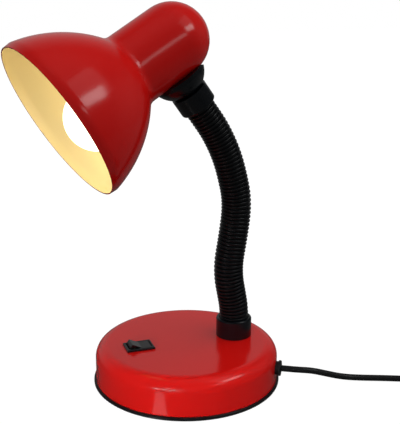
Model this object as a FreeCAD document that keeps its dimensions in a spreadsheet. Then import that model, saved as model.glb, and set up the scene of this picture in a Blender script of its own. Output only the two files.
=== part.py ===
import FreeCAD, Part
import Sketcher
import os
import re
from math import acos, atan2, ceil, cos, degrees, pi, radians, sin, sqrt, tan
from FreeCAD import Placement, Rotation, Vector

# Gooseneck desk lamp, in millimetres. The origin is the middle of the base on the table,
# +Z is up, and the lamp looks towards -Y.

os.makedirs("parts", exist_ok=True)
doc = FreeCAD.newDocument("gooseneck_desk_lamp")

SIZES = [
    # base
    ("base_radius", 68.3, "outside of the red shell"),
    ("base_height", 30.2, "top of the red shell above the table"),
    ("shell_wall", 1.0, "sheet steel of the base shell"),
    ("shoulder", 10.0, "outer radius of the rounded shoulder"),
    ("cover_ledge", 1.7, "rim of the bottom cover past the shell"),
    ("cover_lift", 0.6, "rim of the cover above the table"),
    ("cover_top", 3.3, "floor of the cover, where the shell stands"),
    ("cover_round", 0.9, "rounding of the cover's rim"),
    ("lip_wall", 1.6, "locating lip inside the shell"),
    ("lip_height", 3.7, "locating lip above the cover's floor"),
    ("mat_inset", 8.0, "glued mat inside the cover's rim"),
    ("mat_thick", 1.6, "glued mat"),
    ("loose", 0.4, "gap round a piece that drops in"),
    ("seat_gap", 0.1, "gap at a hidden curved seat"),
    ("tab_in", 9.9, "screws of the cover, in from the shell's inside"),
    ("tab_width", 12.0, "steel tab"),
    ("tab_wall", 1.6, "steel tab"),
    ("tab_reach", 6.0, "tab inside the screw circle"),
    ("screw_radius", 1.95, "cover screw"),
    ("screw_head", 3.7, "cover screw's countersunk head"),
    ("screw_past", 1.5, "thread that stands past the tab"),
    # switch
    ("switch_in", 31.3, "middle of the switch, in from the shell's outside"),
    ("bezel_long", 21.0, "rocker switch bezel"),
    ("bezel_wide", 15.0, "rocker switch bezel"),
    ("bezel_thick", 1.9, "rocker switch bezel"),
    ("bezel_chamfer", 0.7, "rocker switch bezel"),
    ("can_long", 18.9, "switch body below the bezel"),
    ("can_wide", 12.8, "switch body below the bezel"),
    ("can_deep", 13.0, "switch body below the panel"),
    ("well_deep", 9.0, "hollow that the rocker swings in, below the panel"),
    ("rocker_sweep", 8.7, "radius of the rocker's ends about its pin"),
    ("rocker_wide", 10.4, "rocker"),
    ("rocker_drop", 3.0, "rocker below its pin"),
    ("rocker_pin", 1.0, "radius of the rocker's pin"),
    ("pin_below", 3.2, "pin below the bezel's face"),
    ("rocker_throw", 12.0, "degrees each way from level"),
    ("running", 0.05, "clearance of a pin or thread in its hole"),
    ("swing_gap", 0.3, "clearance round a moving piece"),
    ("blade_wide", 4.8, "switch terminal"),
    ("blade_thick", 0.8, "switch terminal"),
    ("blade_long", 5.0, "switch terminal below the switch body"),
    ("blade_clear", 1.6, "switch terminals above the weight"),
    ("blade_pitch", 8.0, "between the two terminals"),
    # wiring in the base
    ("block_x", 24.0, "terminal block"),
    ("block_y", -32.0, "terminal block"),
    ("block_long", 24.0, "terminal block along Y"),
    ("block_wide", 16.0, "terminal block"),
    ("block_high", 9.0, "terminal block"),
    ("block_screw", 1.6, "screw holes of the terminal block"),
    ("lead_radius", 1.1, "insulated lead"),
    ("flex_radius", 2.0, "sheathed lead that goes up the neck"),
    ("clamp_from_wall", 13.0, "cord clamp, from the shell's inside"),
    ("clamp_wide", 20.0, "cord clamp"),
    ("clamp_thick", 6.0, "cord clamp along the cord"),
    ("clamp_over", 2.2, "clamp above the cord"),
    ("clamp_screw", 1.5, "clamp screw"),
    ("clamp_screw_at", 7.0, "clamp screws from the cord"),
    ("clamp_head", 2.9, "head of the clamp screw"),
    ("clamp_head_high", 1.8, "head of the clamp screw"),
    ("clamp_bite", 4.0, "clamp screw in the weight"),
    # gland and cord
    ("cord_radius", 2.3, "round two-core cord"),
    ("cord_over", 4.2, "cord's middle above the weight, where it leaves the wall"),
    ("cord_turn", 31.6, "degrees of the gland from the back towards +X"),
    ("gland_flange", 5.8, "outer flange"),
    ("gland_stand", 2.0, "outer flange off the wall, on its shoulder"),
    ("gland_shoulder", 5.0, "shoulder against the wall"),
    ("gland_thick", 1.8, "outer flange"),
    ("gland_round", 0.6, "outer flange"),
    ("gland_neck", 4.3, "gland in the wall"),
    ("gland_lip", 5.2, "inner lip"),
    ("gland_lip_thick", 1.9, "inner lip"),
    ("cord_straight", 11.0, "cord straight out of the gland"),
    # neck
    ("neck_in", 30.2, "neck, in from the shell's outside"),
    ("collar_radius", 13.4, "both collars"),
    ("collar_high", 14.8, "lower collar"),
    ("collar_floor", 3.0, "lower collar"),
    ("collar_round", 1.6, "rounded mouth of both collars"),
    ("top_collar_high", 13.7, "upper collar"),
    ("top_collar_floor", 2.2, "upper collar where the dome sits in it"),
    ("sleeve_radius", 11.0, "crest of the ribbed sleeve"),
    ("sleeve_groove", 9.8, "groove of the ribbed sleeve"),
    ("sleeve_bore", 8.3, "inside of the sleeve"),
    ("core_radius", 8.0, "flexible steel tube"),
    ("core_bore", 4.5, "flexible steel tube"),
    ("first_pivot", 24.0, "first bend, along the neck from the base"),
    ("link_long", 20.0, "from one bend to the next"),
    ("joint_gap", 2.7, "open groove of the sleeve at a bend"),
    ("rib_flat", 1.2, "crest of one rib"),
    ("rib_flank", 0.35, "slope of one rib along the neck"),
    ("ball_radius", 6.9, "ball at the end of a core link"),
    ("ball_back", 4.0, "ball's shoulder below its centre"),
    ("ball_root", 0.8, "ball set into its link below the shoulder"),
    ("cup_skirt", 1.6, "cup's edge below the ball's centre"),
    ("cup_radius", 7.8, "outside of the cup"),
    ("cup_long", 2.4, "cup above the ball's centre"),
    ("nipple_radius", 5.0, "threaded tube"),
    ("nipple_bore", 3.6, "threaded tube"),
    ("nipple_grip", 5.0, "threaded tube inside the core"),
    ("nut_flats", 14.0, "thin lock nut across its flats"),
    ("nut_thick", 4.0, "thin lock nut"),
    ("washer_radius", 9.5, "washer under the base"),
    ("washer_thick", 1.5, "washer under the base"),
    ("nipple_past", 0.9, "thread that stands past a nut"),
    # head
    ("head_turn", 9.47, "degrees that the head is turned about the neck"),
    ("head_tip", 4.55, "degrees that the cap is off square to the neck"),
    ("shade_wall", 0.9, "sheet steel of the shade"),
    ("rim_radius", 58.1, "mouth of the shade"),
    ("rim_band", 5.0, "nearly straight band at the mouth"),
    ("bell_radius", 94.35, "arc of the bell's outline"),
    ("bell_along", -13.8, "arc's centre along the axis from the rim"),
    ("bell_across", -33.9, "arc's centre off the axis"),
    ("waist_round", 9.0, "hollow rounding from the bell to the cap"),
    ("cap_radius", 26.1, "cylindrical cap and its domed end"),
    ("cap_end", 99.2, "where the dome starts, from the rim"),
    ("head_reach", 88.0, "neck's axis behind the rim"),
    ("dome_radius", 20.7, "black saddle"),
    ("dome_rise", 13.4, "black saddle below the cap's wall"),
    ("dome_lap", 3.1, "saddle sunk in the collar's mouth"),
    ("saddle_radius", 19.4, "skirt of the saddle"),
    ("saddle_sink", 3.1, "saddle's flat top above the cap's lowest line"),
    ("inner_washer", 8.5, "saddle washer in the cap"),
    ("inner_washer_thick", 2.3, "saddle washer in the cap"),
    ("bracket_thick", 1.2, "holder bracket"),
    ("bracket_wide", 14.0, "holder bracket"),
    ("bracket_front", 6.9, "holder bracket in front of the nipple"),
    ("bracket_slack", 3.0, "holder bracket past its bend before it is trimmed"),
    # lampholder and bulb, along the holder's axis from the neck's axis
    ("holder_tilt", 11.8, "degrees that the holder hangs towards the neck"),
    ("holder_back", 9.0, "rear face"),
    ("holder_step", -11.8, "step between skirt and rear part"),
    ("holder_front", -38.0, "mouth of the skirt"),
    ("holder_skirt", 19.5, "radius of the skirt"),
    ("holder_rear", 13.5, "radius of the rear part"),
    ("holder_bore", 14.6, "hollow for the threaded shell"),
    ("holder_floor", -7.0, "floor of the hollow"),
    ("holder_waist", 13.4, "hollow behind the threaded shell"),
    ("holder_ledge", -12.4, "ledge behind the bulb's cap"),
    ("holder_well", 11.0, "hollow round the centre contact"),
    ("shell_inner", 13.35, "threaded shell"),
    ("shell_outer", 14.3, "threaded shell"),
    ("shell_front", -33.0, "threaded shell"),
    ("shell_back", -15.5, "threaded shell"),
    ("contact_thick", 1.5, "centre contact of the holder"),
    ("contact_wide", 5.0, "centre contact of the holder"),
    ("contact_long", 9.0, "centre contact of the holder"),
    ("holder_screw", 1.45, "screws of the bracket"),
    ("holder_screw_at", 5.0, "screws from the holder's axis"),
    ("holder_screw_deep", 6.0, "screws in the holder"),
    ("holder_screw_head", 2.7, "screws of the bracket"),
    ("holder_screw_high", 1.8, "screws of the bracket"),
    ("globe_at", -64.0, "middle of the bulb's globe"),
    ("globe_radius", 22.7, "golf-ball bulb"),
    ("globe_wall", 1.2, "diffuser"),
    ("globe_neck_at", -46.4, "bulb where its neck starts"),
    ("bulb_cap_front", -35.0, "screw cap of the bulb"),
    ("bulb_cap_back", -13.2, "screw cap of the bulb"),
    ("bulb_cap_radius", 13.1, "screw cap of the bulb"),
    ("bulb_tip_radius", 4.7, "centre contact of the bulb"),
    ("bulb_tip_edge", 1.0, "bevel of the bulb's centre contact and of the glass round it"),
    ("bulb_tip_at", -10.9, "centre contact of the bulb"),
    ("bulb_tip_end", -8.7, "centre contact of the bulb"),
    # put-away cord and plug
    ("coil_step", 5.06, "one turn beside or on the next"),
    ("coil_inner", 19.9, "tightest half turn"),
    ("coil_lift", 0.6, "coil above the table, over its tie"),
    ("tie_wide", 8.0, "strap"),
    ("tie_thick", 0.5, "strap"),
    ("tie_slack", 0.9, "strap beside the bundle"),
    ("tail_bow", 0.8, "plug to the side of the coil's last run"),
    ("tail_end", 6.0, "straight ends of the cord between the coil and the plug"),
    ("tail_long", 22.0, "cord between the coil and the plug"),
    ("plug_long", 36.0, "plug body"),
    ("plug_face", 26.0, "plug body at its pins"),
    ("plug_back", 11.0, "plug body at its cord"),
    ("plug_thick", 13.7, "plug body"),
    ("plug_taper", 14.0, "where the plug is full width, from its pins"),
    ("plug_edge", 2.0, "rounding of the plug"),
    ("plug_pin_radius", 2.0, "mains pin"),
    ("plug_pin_long", 19.0, "mains pin"),
    ("plug_pin_pitch", 18.6, "between the mains pins"),
    ("plug_pin_root", 8.0, "mains pin inside the body"),
    ("plug_pin_shank", 1.5, "mains pin inside the body"),
    ("coil_half_turns", 14, "half turns of the coil, in two layers"),
]
NECK_ARCS = [  # (length, degrees of forward lean gained), from the base up
    (15.0, 0.0), (13.0, 10.0), (12.0, 1.0), (26.0, -21.0), (25.0, 2.7), (12.0, 7.3),
    (14.0, 12.0), (14.0, 3.0), (16.0, 8.0), (14.0, 6.0), (10.0, 6.0), (13.2, 0.0),
]
LINKS = 8  # moving links of the neck above the fixed one
RIBS = 7  # ribs on a whole link
TABS = 3
TAB_ANGLES = [30.0 + 360.0 / TABS * i for i in range(TABS)]

sheet = doc.addObject("Spreadsheet::Sheet", "Sizes")
for row, (alias, number, note) in enumerate(SIZES, 1):
    sheet.set(f"A{row}", alias)
    sheet.set(f"B{row}", str(number))
    sheet.set(f"C{row}", note)
    sheet.setAlias(f"B{row}", alias)
for row, (length, lean) in enumerate(NECK_ARCS):
    for column, what, number in (("E", "length", length), ("F", "lean", lean)):
        sheet.set(f"{column}{row + 1}", str(number))
        sheet.setAlias(f"{column}{row + 1}", f"neck_{what}_{chr(97 + row)}")
doc.recompute()

NAMES = {alias for alias, _, _ in SIZES}
DERIVED = {  # what follows from the sizes
    "cover_radius": "(base_radius + cover_ledge)",
    "mat_radius": "(base_radius + cover_ledge - mat_inset)",
    "weight_top": "(base_height - can_deep - blade_long - blade_clear)",
    "weight_thick": "(base_height - can_deep - blade_long - blade_clear - cover_top)",
    "cord_height": "(base_height - can_deep - blade_long - blade_clear + cord_over)",
    "gland_end": "(base_radius + seat_gap + gland_stand + gland_thick)",
    "lip_outer": "(base_radius - shell_wall - loose)",
    "lip_inner": "(base_radius - shell_wall - loose - lip_wall)",
    "tab_circle": "(base_radius - shell_wall - loose - tab_in)",
    "switch_y": "(switch_in - base_radius)",
    "neck_y": "(base_radius - neck_in)",
}
nodes = {}


def bound(text):
    """An expression written with plain size names, as the document reads it."""
    text = re.sub(r"[a-z_]+[a-z_0-9]*", lambda m: DERIVED.get(m[0], m[0]), str(text))
    return re.sub(r"[a-z_]+[a-z_0-9]*", lambda m: "Sizes." + m[0] if m[0] in NAMES else m[0], text)


def size(text):
    """The number that an expression of size names gives."""
    value = sheet.evalExpression(bound(text))
    return float(getattr(value, "Value", value))


def keep(name, thing, place=None):
    """Files a finished sub-part under its name, at its place."""
    thing.Label = name
    if place is not None:
        thing.Placement = place
    nodes[name] = thing
    return thing


# Sketches and bodies

def draw(sketch, outline):
    """A closed outline of (across, up) points; a third entry is the radius of the arc to the
    next point, positive where the arc turns left."""
    spots = [Vector(size(p[0]), size(p[1]), 0) for p in outline]
    ends = []
    for i, point in enumerate(outline):
        a, b = spots[i], spots[(i + 1) % len(spots)]
        if len(point) == 2:
            index = sketch.addGeometry(Part.LineSegment(a, b))
            ends.append((index, 1, 2))
            continue
        radius = size(point[2])
        chord = b - a
        left = Vector(-chord.y, chord.x, 0).normalize()
        rise = sqrt(max(radius**2 - (chord.Length / 2) ** 2, 0))
        centre = (a + b) * 0.5 + left * (rise if radius > 0 else -rise)
        first, last = (a, b) if radius > 0 else (b, a)
        turn = [atan2(p.y - centre.y, p.x - centre.x) for p in (first, last)]
        circle = Part.Circle(centre, Vector(0, 0, 1), abs(radius))
        index = sketch.addGeometry(Part.ArcOfCircle(circle, *turn))
        ends.append((index, 1, 2) if radius > 0 else (index, 2, 1))
        number = sketch.addConstraint(Sketcher.Constraint("Radius", index, abs(radius)))
        sketch.setExpression(f"Constraints[{number}]", bound(f"abs({point[2]})"))
    for i, point in enumerate(outline):
        index, start, _ = ends[i]
        before, _, end = ends[i - 1]
        sketch.addConstraint(Sketcher.Constraint("Coincident", before, end, index, start))
        for kind, spot, text, axis in (
            ("DistanceX", spots[i].x, point[0], -2),
            ("DistanceY", spots[i].y, point[1], -1),
        ):
            if text in (0, "0"):
                sketch.addConstraint(Sketcher.Constraint("PointOnObject", index, start, axis))
            else:
                number = sketch.addConstraint(Sketcher.Constraint(kind, -1, 1, index, start, spot))
                sketch.setExpression(f"Constraints[{number}]", bound(text))


def sketched(name, plane, outline):
    body = doc.addObject("PartDesign::Body", name + "_body")
    sketch = body.newObject("Sketcher::SketchObject", name + "_outline")
    origin = [f for f in body.Origin.OriginFeatures if f.Role == plane][0]
    sketch.AttachmentSupport = (origin, [""])
    sketch.MapMode = "FlatFace"
    draw(sketch, outline)
    return body, sketch


def turned(name, outline):
    """A body turned about its own Z axis from an outline of (radius, height) points."""
    body, sketch = sketched(name, "XZ_Plane", outline)
    spin = body.newObject("PartDesign::Revolution", name + "_turned")
    spin.Profile = sketch
    spin.ReferenceAxis = (sketch, ["V_Axis"])
    spin.Angle = 360
    body.Tip = spin
    return body


def padded(name, outline, height, plane="XY_Plane", middle=False):
    """A body padded up from an outline."""
    body, sketch = sketched(name, plane, outline)
    pad = body.newObject("PartDesign::Pad", name + "_pad")
    pad.Profile = sketch
    pad.setExpression("Length", bound(height))
    pad.Midplane = middle
    body.Tip = pad
    return body


def solid(kind, name, place=None, **sizes):
    """A Part primitive whose sizes are expressions."""
    thing = doc.addObject("Part::" + kind, name)
    for key, text in sizes.items():
        thing.setExpression(key, bound(text))
    if place is not None:
        thing.Placement = place
    return thing


def block(name, long, wide, high, place=None):
    """A box centred on its own Z axis, standing on its own XY plane."""
    thing = solid("Box", name, Length=long, Width=wide, Height=high)
    shift = Placement(Vector(-size(long) / 2, -size(wide) / 2, 0), Rotation())
    thing.Placement = (place or Placement()).multiply(shift)
    return thing


def fused(name, *pieces):
    thing = doc.addObject("Part::MultiFuse", name)
    thing.Shapes = list(pieces)
    return thing


def grouped(name, *pieces):
    thing = doc.addObject("Part::Compound", name)
    thing.Links = list(pieces)
    return thing


def cut(name, base, *tools):
    thing = doc.addObject("Part::Cut", name)
    thing.Base = base
    thing.Tool = tools[0] if len(tools) == 1 else fused(name + "_tools", *tools)
    return thing


def shared(name, one, other):
    thing = doc.addObject("Part::Common", name)
    thing.Base = one
    thing.Tool = other
    return thing


def moved(x=0.0, y=0.0, z=0.0, turn=None):
    return Placement(Vector(x, y, z), turn or Rotation())


def facing(origin, axis, across):
    """A frame whose Z runs along axis and whose X leans towards across."""
    return Placement(origin, Rotation(across, Vector(), axis, "ZXY"))


# The neck's line: arcs in the plane X = 0, each tangent to the one before

def neck_point(station):
    """Place on the neck's centre line, with Z along it, at a distance from the base's top."""
    spot = Vector(0, size("neck_y"), size("base_height"))
    lean, left = 0.0, station
    for i in range(len(NECK_ARCS)):
        length = size(f"Sizes.neck_length_{chr(97 + i)}")
        gain = radians(size(f"Sizes.neck_lean_{chr(97 + i)}"))
        last = i == len(NECK_ARCS) - 1
        part = left if last or left < length else length
        turn = gain * part / length
        step = part if abs(turn) < 1e-9 else 2 * part / turn * sin(turn / 2)
        middle = lean + turn / 2
        spot = spot + Vector(0, -sin(middle) * step, cos(middle) * step)
        lean += turn
        left -= part
        if left <= 0:
            break
    return Placement(spot, Rotation(Vector(1, 0, 0), degrees(lean)))


def neck_length():
    return sum(size(f"Sizes.neck_length_{chr(97 + i)}") for i in range(len(NECK_ARCS)))


def hoops(stations):
    """A ruled solid through circles, given as (station, radius), square to the neck's line."""
    rings = []
    for station, radius in stations:
        place = neck_point(station)
        circle = Part.Circle(Vector(), Vector(0, 0, 1), radius)
        ring = Part.Wire([circle.toShape()])
        ring.Placement = place
        rings.append(ring)
    return Part.makeLoft(rings, True, True)


def steps(start, end, radius, stride=4.0):
    count = max(1, ceil((end - start) / stride))
    return [(start + (end - start) * i / count, radius) for i in range(count + 1)]


def ribbed(start, end, ribs):
    """A sleeve from start to end, with a crest at both ends."""
    crest, groove, flat, flank = (size(n) for n in ("sleeve_radius", "sleeve_groove", "rib_flat", "rib_flank"))
    pitch = (end - start - flat) / (ribs - 1)
    rings = []
    for i in range(ribs):
        at = start + pitch * i
        rings += [(at, crest), (at + flat, crest)]
        if i < ribs - 1:
            rings += [(at + flat + flank, groove), (at + pitch - flank, groove)]
    bore = size("sleeve_bore")
    return hoops(rings).cut(hoops(steps(start - 1, end + 1, bore)))


def feature(name, shape):
    thing = doc.addObject("Part::Feature", name)
    thing.Shape = shape
    return keep(name, thing)


def sphere(radius, place):
    ball = Part.makeSphere(radius)
    ball.Placement = place
    return ball


def core_link(start, end, ball, cup):
    """A length of the steel tube, with a ball above and a cup below where it bends."""
    radius, bore = size("core_radius"), size("core_bore")
    body_start = start + size("cup_long") if cup else start
    body_end = end - size("ball_back") if ball else end
    shape = hoops(steps(body_start, body_end, radius))
    if ball:
        wide = 2 * radius
        above = Part.makeBox(2 * wide, 2 * wide, 2 * wide, Vector(-wide, -wide, -size("ball_back + ball_root")))
        above.Placement = neck_point(end)
        shape = shape.fuse(sphere(size("ball_radius"), neck_point(end)).common(above))
    if cup:
        skirt = hoops([(start - size("cup_skirt"), size("cup_radius")), (body_start, size("cup_radius"))])
        shape = shape.fuse(skirt).cut(sphere(size("ball_radius + swing_gap"), neck_point(start)))
    hollow = hoops(steps(start - size("cup_skirt") - radius, end + radius, bore))
    return shape.cut(hollow).removeSplitter()


# Cords

def corner(before, at, after):
    """Start, middle and end of the arc that rounds a corner of a route."""
    one, two = before - at, after - at
    leg = 0.45 * min(one.Length, two.Length)
    start, end = at + one.normalize() * leg, at + two.normalize() * leg
    weight = cos((pi - one.getAngle(two)) / 2)
    return start, ((start + end) * 0.5 + at * weight) * (1 / (1 + weight)), end


def tube(name, points, radius):
    """A round tube along straight runs joined by tangent arcs; prints its radii."""
    edges, at, length, radii = [], points[0], 0.0, []
    for i in range(1, len(points) - 1):
        start, middle, end = corner(points[i - 1], points[i], points[i + 1])
        arc = Part.Arc(start, middle, end).toShape()
        radii.append(arc.Curve.Radius)
        edges += [Part.LineSegment(at, start).toShape(), arc]
        at = end
    edges.append(Part.LineSegment(at, points[-1]).toShape())
    path = Part.Wire(edges)
    ring = Part.Circle(points[0], points[1] - points[0], radius).toShape()
    shape = path.makePipeShell([Part.Wire([ring])], True, False)
    ideal = pi * radius**2 * path.Length
    print(name, "length", round(path.Length, 1), "radii", [round(r, 1) for r in radii],
          "volume over ideal", round(shape.Volume / ideal, 4))
    return feature(name, shape)


def half_turn(start, heading, radius, climb):
    """Two quarter turns to the left from start, which end on the other side, climb higher."""
    across = Vector(0, 0, 1).cross(heading)
    end = start + across * (2 * radius) + Vector(0, 0, climb)
    leg = sqrt(radius**2 + climb**2 / 4)
    knees = start + heading * leg, end + heading * leg
    middle = (knees[0] + knees[1]) * 0.5
    arcs, weight = [], cos(pi / 4)
    for a, knee, b in ((start, knees[0], middle), (middle, knees[1], end)):
        top = ((a + b) * 0.5 + knee * weight) * (1 / (1 + weight))
        arcs.append(Part.Arc(a, top, b))
    return arcs, end


# Base

def round_the_base(angle, radius=0.0, height=0.0):
    """A frame whose X points outwards at an angle round the base."""
    turn = Rotation(Vector(0, 0, 1), angle)
    return Placement(turn.multVec(Vector(radius, 0, 0)) + Vector(0, 0, height), turn)


def make_base():
    keep("anti_slip_mat", turned("anti_slip_mat", [
        ("0", "0"), ("mat_radius", "0"), ("mat_radius", "mat_thick"), ("0", "mat_thick")]))
    cover = turned("cover_blank", [
        ("0", "mat_thick"), ("mat_radius + loose", "mat_thick"), ("mat_radius + loose", "cover_lift"),
        ("cover_radius - cover_round", "cover_lift", "cover_round"),
        ("cover_radius", "cover_lift + cover_round"),
        ("cover_radius", "cover_top - cover_round", "cover_round"),
        ("cover_radius - cover_round", "cover_top"), ("lip_outer", "cover_top"),
        ("lip_outer", "cover_top + lip_height"), ("lip_inner", "cover_top + lip_height"),
        ("lip_inner", "cover_top"), ("0", "cover_top")])
    sinks = [
        solid("Cone", f"countersink_{i}", round_the_base(a, size("tab_circle"), size("mat_thick")),
              Radius1="screw_head + seat_gap", Radius2="screw_radius + seat_gap",
              Height="cover_top - mat_thick")
        for i, a in enumerate(TAB_ANGLES)]
    keep("bottom_cover", cut("bottom_cover", cover, *sinks))
    weight = turned("weight_blank", [
        ("0", "cover_top"), ("lip_inner - loose", "cover_top"),
        ("lip_inner - loose", "weight_top"), ("0", "weight_top")])
    holes = [
        solid("Cylinder", f"weight_hole_{i}", round_the_base(a, size("tab_circle"), size("cover_top")),
              Radius="screw_radius + loose", Height="weight_thick")
        for i, a in enumerate(TAB_ANGLES)]
    clamp_holes = [
        solid("Cylinder", f"clamp_hole_{i}", clamp_frame(side * size("clamp_screw_at"), -size("clamp_bite")),
              Radius="clamp_screw + running", Height="clamp_bite")
        for i, side in enumerate((-1, 1))]
    keep("base_weight", cut("base_weight", weight, *holes, *clamp_holes))
    tabs, screws = [], []
    for i, angle in enumerate(TAB_ANGLES):
        out = size("lip_outer")
        foot_long = "tab_in + tab_reach"
        foot = block(f"tab_foot_{i}", foot_long, "tab_width", "tab_wall",
                     round_the_base(angle, out - size(foot_long) / 2, size("weight_top")))
        leg = block(f"tab_leg_{i}", "tab_wall", "tab_width", "base_height - shoulder - swing_gap - weight_top",
                    round_the_base(angle, out - size("tab_wall") / 2, size("weight_top")))
        hole = solid("Cylinder", f"tab_hole_{i}", round_the_base(angle, size("tab_circle"), size("weight_top")),
                     Radius="screw_radius + running", Height="tab_wall")
        tabs.append(cut(f"tab_{i}", fused(f"tab_blank_{i}", foot, leg), hole))
        head = solid("Cone", f"screw_head_{i}", round_the_base(angle, size("tab_circle"), size("mat_thick")),
                     Radius1="screw_head", Radius2="screw_radius", Height="cover_top - mat_thick")
        shank = solid("Cylinder", f"screw_shank_{i}",
                      round_the_base(angle, size("tab_circle"), size("cover_top")),
                      Radius="screw_radius", Height="weight_thick + tab_wall + screw_past")
        screws.append(fused(f"screw_{i}", head, shank))
    keep("shell_brackets", grouped("shell_brackets", *tabs))
    keep("cover_screws", grouped("cover_screws", *screws))
    blank = turned("shell_blank", [
        ("base_radius - shell_wall", "cover_top"), ("base_radius", "cover_top"),
        ("base_radius", "base_height - shoulder", "shoulder"),
        ("base_radius - shoulder", "base_height"), ("0", "base_height"),
        ("0", "base_height - shell_wall"),
        ("base_radius - shoulder", "base_height - shell_wall", "shell_wall - shoulder"),
        ("base_radius - shell_wall", "base_height - shoulder")])
    openings = [
        solid("Cylinder", "nipple_hole", moved(0, size("neck_y"), size("base_height - 2 * shell_wall")),
              Radius="nipple_radius + running", Height="4 * shell_wall"),
        block("switch_hole", "can_wide + 2 * seat_gap", "can_long + 2 * seat_gap", "4 * shell_wall",
              moved(0, size("switch_y"), size("base_height - 2 * shell_wall"))),
        solid("Cylinder", "cord_hole", gland_frame(size("base_radius - shoulder")),
              Radius="gland_neck + seat_gap", Height="2 * shoulder")]
    keep("base_shell", cut("base_shell", blank, *openings))


def gland_frame(out):
    """A frame on the cord's exit, with Z outwards, at a distance from the base's axis."""
    turn = radians(90 - size("cord_turn"))
    axis = Vector(cos(turn), sin(turn), 0)
    return facing(axis * out + Vector(0, 0, size("cord_height")), axis, Vector(0, 0, 1))


def clamp_frame(aside=0.0, up=0.0):
    """A frame on the weight under the cord clamp, with Y along the cord."""
    out = size("base_radius - shell_wall - clamp_from_wall")
    turn = Rotation(Vector(0, 0, 1), -size("cord_turn"))
    spot = turn.multVec(Vector(aside, out, 0)) + Vector(0, 0, size("weight_top") + up)
    return Placement(spot, turn)


def make_gland_and_clamp():
    inner_face = "base_radius - shell_wall - 3 * seat_gap"
    outer_face = "base_radius + seat_gap"
    gland = turned("cord_grommet", [
        ("cord_radius + seat_gap", f"{inner_face} - gland_lip_thick"),
        ("gland_lip", f"{inner_face} - gland_lip_thick"), ("gland_lip", inner_face),
        ("gland_neck", inner_face), ("gland_neck", outer_face), ("gland_shoulder", outer_face),
        ("gland_shoulder", f"{outer_face} + gland_stand"), ("gland_flange", f"{outer_face} + gland_stand"),
        ("gland_flange", "gland_end - gland_round", "gland_round"),
        ("gland_flange - gland_round", "gland_end"), ("cord_radius + seat_gap", "gland_end")])
    keep("cord_grommet", gland, gland_frame(0))
    high = "cord_height - weight_top + cord_radius + clamp_over"
    strap = block("clamp_blank", "clamp_wide", "clamp_thick", high, clamp_frame())
    bore = solid("Cylinder", "clamp_bore",
                 gland_frame(size("base_radius - shell_wall - clamp_from_wall - clamp_thick")),
                 Radius="cord_radius + seat_gap", Height="2 * clamp_thick")
    holes, screws = [], []
    for i, side in enumerate((-1, 1)):
        aside = side * size("clamp_screw_at")
        holes.append(solid("Cylinder", f"clamp_screw_hole_{i}", clamp_frame(aside),
                           Radius="clamp_screw + seat_gap", Height=high))
        shank = solid("Cylinder", f"clamp_shank_{i}", clamp_frame(aside, -size("clamp_bite")),
                      Radius="clamp_screw", Height=f"clamp_bite + {high}")
        head = solid("Cylinder", f"clamp_head_{i}", clamp_frame(aside, size(high)),
                     Radius="clamp_head", Height="clamp_head_high")
        screws.append(fused(f"clamp_screw_{i}", shank, head))
    keep("cord_clamp", cut("cord_clamp", strap, bore, *holes))
    keep("clamp_screws", grouped("clamp_screws", *screws))


# Switch

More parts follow.
